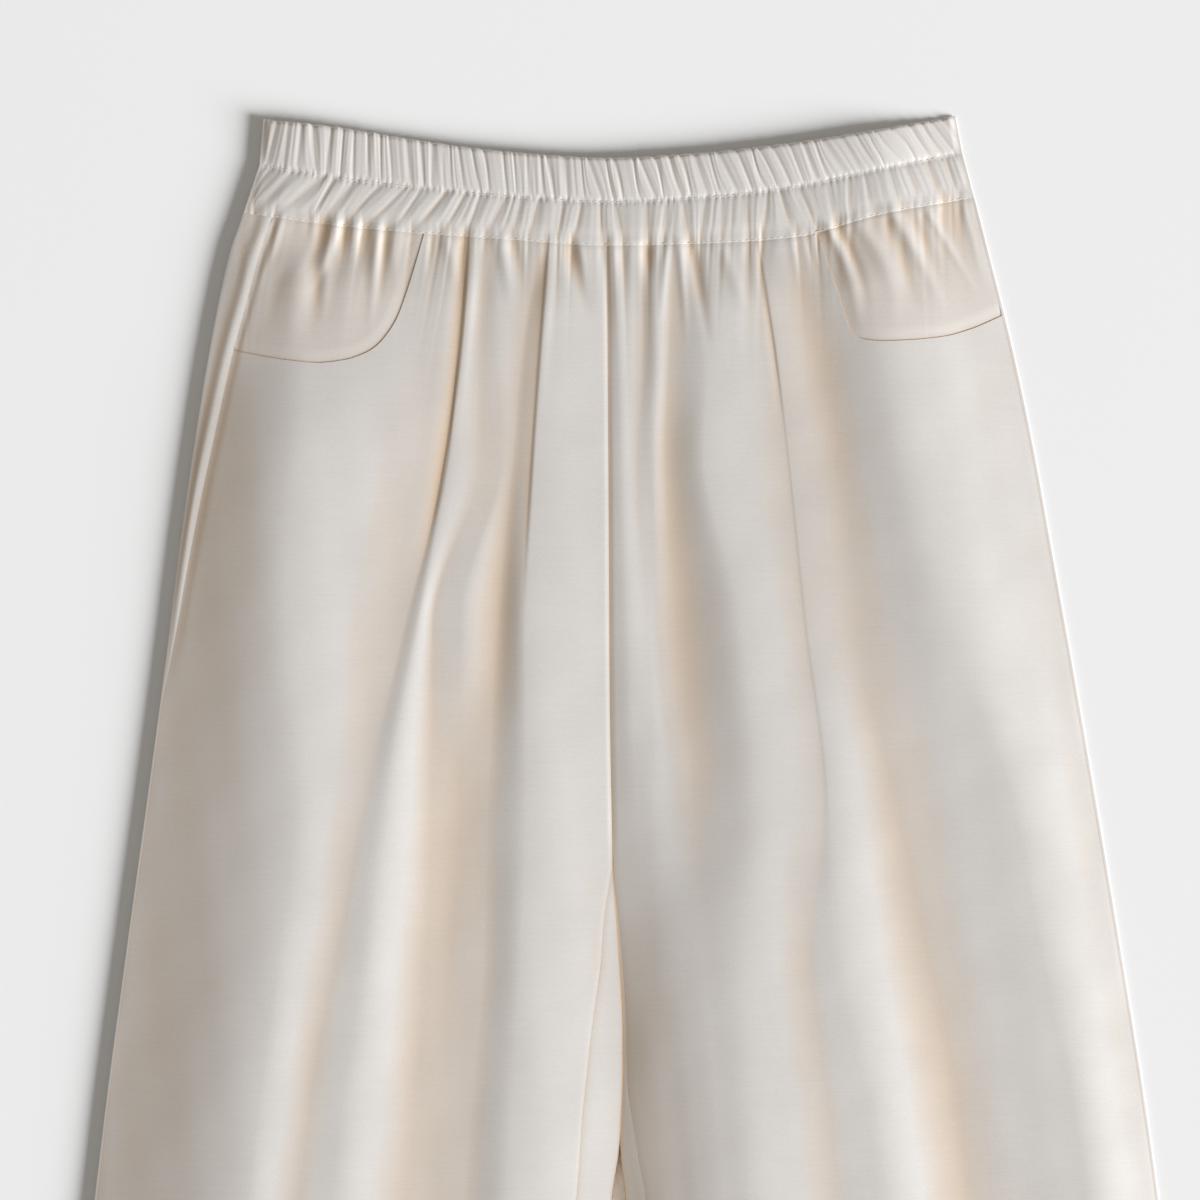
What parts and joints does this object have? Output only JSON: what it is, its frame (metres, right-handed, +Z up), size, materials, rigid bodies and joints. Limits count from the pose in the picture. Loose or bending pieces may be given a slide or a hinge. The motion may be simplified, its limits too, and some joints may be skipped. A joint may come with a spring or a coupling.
{
  "type": "wide-leg trousers",
  "caption": "Wide-leg silk satin trousers laid flat, front up, with a gathered elastic waistband, scooped front pockets and soft pleat folds running down the legs.",
  "frame": {"origin": "on the surface that the trousers lie on, below the middle of their outline", "axes": "+Z up from the surface, +Y towards the waist, +X towards the wearer's left leg"},
  "size_m": [0.668, 1.0717, 0.0146],
  "materials": {
    "silk_satin": "soft satin sheen",
    "waistband_satin": "soft satin sheen, gathered"
  },
  "bodies": {
    "root": {"waistband_front": "waistband_satin", "waistband_back": "waistband_satin", "front_right": "silk_satin", "front_left": "silk_satin", "back_right": "silk_satin", "back_left": "silk_satin", "side_front_right": "silk_satin", "side_front_left": "silk_satin"}
  },
  "joints": []
}
